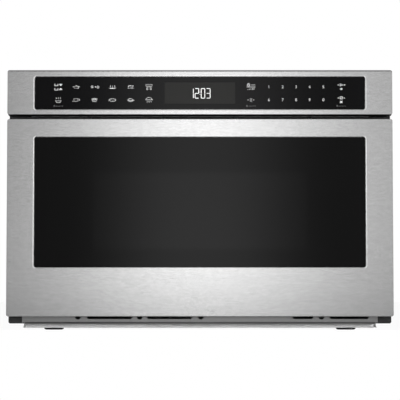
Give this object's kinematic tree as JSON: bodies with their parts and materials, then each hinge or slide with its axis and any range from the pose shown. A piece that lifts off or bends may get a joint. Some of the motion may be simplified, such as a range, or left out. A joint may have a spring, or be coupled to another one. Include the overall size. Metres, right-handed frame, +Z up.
{
  "type": "built-in drawer microwave",
  "caption": "Built-in drawer microwave with a steel and black glass front, touch keypad fascia, a sliding tub on telescopic rails and a rack drive, for a cabinet opening.",
  "frame": {"origin": "on the shelf plane, under the middle of the overall box", "axes": "+X to the right of a person facing the front, +Y to the wall, +Z up"},
  "size_m": [0.606, 0.64, 0.4095],
  "materials": {
    "steel_front": "horizontally brushed stainless sheet",
    "black_glass": "black back-printed flat glass",
    "clear_glass": "clear pane",
    "glass_ceramic": "opaque glass-ceramic plate",
    "black_plastic": "black moulded plastic",
    "grey_plastic": "light grey moulded composite",
    "white_plastic": "natural plastic",
    "black_paint": "black powder coat",
    "grey_paint": "grey paint",
    "galvanised": "galvanised sheet",
    "cavity_paint": "light grey cavity enamel",
    "zinc_steel": "zinc plated steel",
    "aluminium": "bare aluminium",
    "core_steel": "varnished laminations",
    "copper": "enamelled copper wire",
    "board": "green circuit board",
    "rubber": "black rubber"
  },
  "bodies": {
    "chassis": {"control_fascia": "steel_front", "control_glass": "black_glass", "control_carrier": "black_plastic", "control_board": "board", "display_module": "black_plastic", "drive_gearbox": "black_plastic", "drive_motor": "zinc_steel", "rack_guide": "white_plastic", "base_pan": "galvanised", "rubber_feet": "rubber", "top_cover": "galvanised", "rear_panel": "galvanised", "rear_spacers": "black_plastic", "front_bulkhead": "black_paint", "vent_panel": "grey_paint", "cavity_liner": "cavity_paint", "waveguide": "galvanised", "stirrer_motor": "black_plastic", "stirrer_cover": "white_plastic", "magnetron_yoke": "zinc_steel", "magnetron_anode": "aluminium", "fan_shroud": "black_plastic", "fan_motor": "core_steel", "air_duct": "black_plastic", "transformer_core": "core_steel", "transformer_windings": "copper", "hv_capacitor": "aluminium", "capacitor_bracket": "zinc_steel", "filter_board": "board", "lamp_holder": "galvanised", "oven_lamp": "white_plastic", "cord_gland": "black_plastic", "case_screws": "zinc_steel", "left_side_panel": "galvanised", "right_side_panel": "galvanised", "left_mount_flange": "black_paint", "right_mount_flange": "black_paint", "outer_rails": "zinc_steel", "latch_housings": "black_plastic"},
    "drawer": {"drawer_front_skin": "steel_front", "drawer_glass": "black_glass", "window_screen": "black_paint", "door_core_frame": "black_plastic", "inner_window": "clear_glass", "door_back_plate": "grey_paint", "choke_cover": "black_plastic", "drawer_tub": "grey_plastic", "tub_floor_plate": "glass_ceramic", "drawer_rack": "white_plastic", "inner_rails": "zinc_steel", "latch_hooks": "black_plastic"},
    "middle_rails": {"middle_rails": "zinc_steel"},
    "outer_cages": {"outer_roller_cages": "white_plastic"},
    "inner_cages": {"inner_roller_cages": "white_plastic"},
    "pinion": {"drive_pinion": "white_plastic"},
    "fan": {"fan_impeller": "black_plastic"},
    "stirrer": {"stirrer_blade": "aluminium"},
    "left_plunger": {"left_switch_plunger": "white_plastic"},
    "right_plunger": {"right_switch_plunger": "white_plastic"}
  },
  "joints": [
    {"name": "drawer_slide", "type": "slide", "parent": "chassis", "child": "drawer", "axis": [0, -1, 0], "range_m": [0, 0.38]},
    {"name": "middle_rail_slide", "type": "slide", "parent": "chassis", "child": "middle_rails", "axis": [0, -1, 0], "range_m": [0, 0.19]},
    {"name": "outer_cage_slide", "type": "slide", "parent": "chassis", "child": "outer_cages", "axis": [0, -1, 0], "range_m": [0, 0.095]},
    {"name": "inner_cage_slide", "type": "slide", "parent": "chassis", "child": "inner_cages", "axis": [0, -1, 0], "range_m": [0, 0.285]},
    {"name": "pinion_spin", "type": "hinge", "parent": "chassis", "child": "pinion", "pos_m": [0.081, -0.225, 0.052], "axis": [0, 0, -1], "range_deg": [0, 1452]},
    {"name": "fan_spin", "type": "hinge", "parent": "chassis", "child": "fan", "pos_m": [-0.072, 0.2332, 0.2655], "axis": [1, 0, 0], "continuous": true},
    {"name": "stirrer_spin", "type": "hinge", "parent": "chassis", "child": "stirrer", "pos_m": [0, -0.06, 0.29], "axis": [0, 0, 1], "continuous": true},
    {"name": "left_plunger_press", "type": "slide", "parent": "chassis", "child": "left_plunger", "axis": [0, 1, 0], "range_m": [0, 0.002], "stiffness_N_per_m": 300, "springref_m": -0.003},
    {"name": "right_plunger_press", "type": "slide", "parent": "chassis", "child": "right_plunger", "axis": [0, 1, 0], "range_m": [0, 0.002], "stiffness_N_per_m": 300, "springref_m": -0.003}
  ],
  "couplings": [
    {"joint": "middle_rail_slide", "follows": "drawer_slide", "ratio": 0.5},
    {"joint": "outer_cage_slide", "follows": "drawer_slide", "ratio": 0.25},
    {"joint": "inner_cage_slide", "follows": "drawer_slide", "ratio": 0.75},
    {"joint": "pinion_spin", "follows": "drawer_slide", "rad_per_m": 66.667}
  ]
}
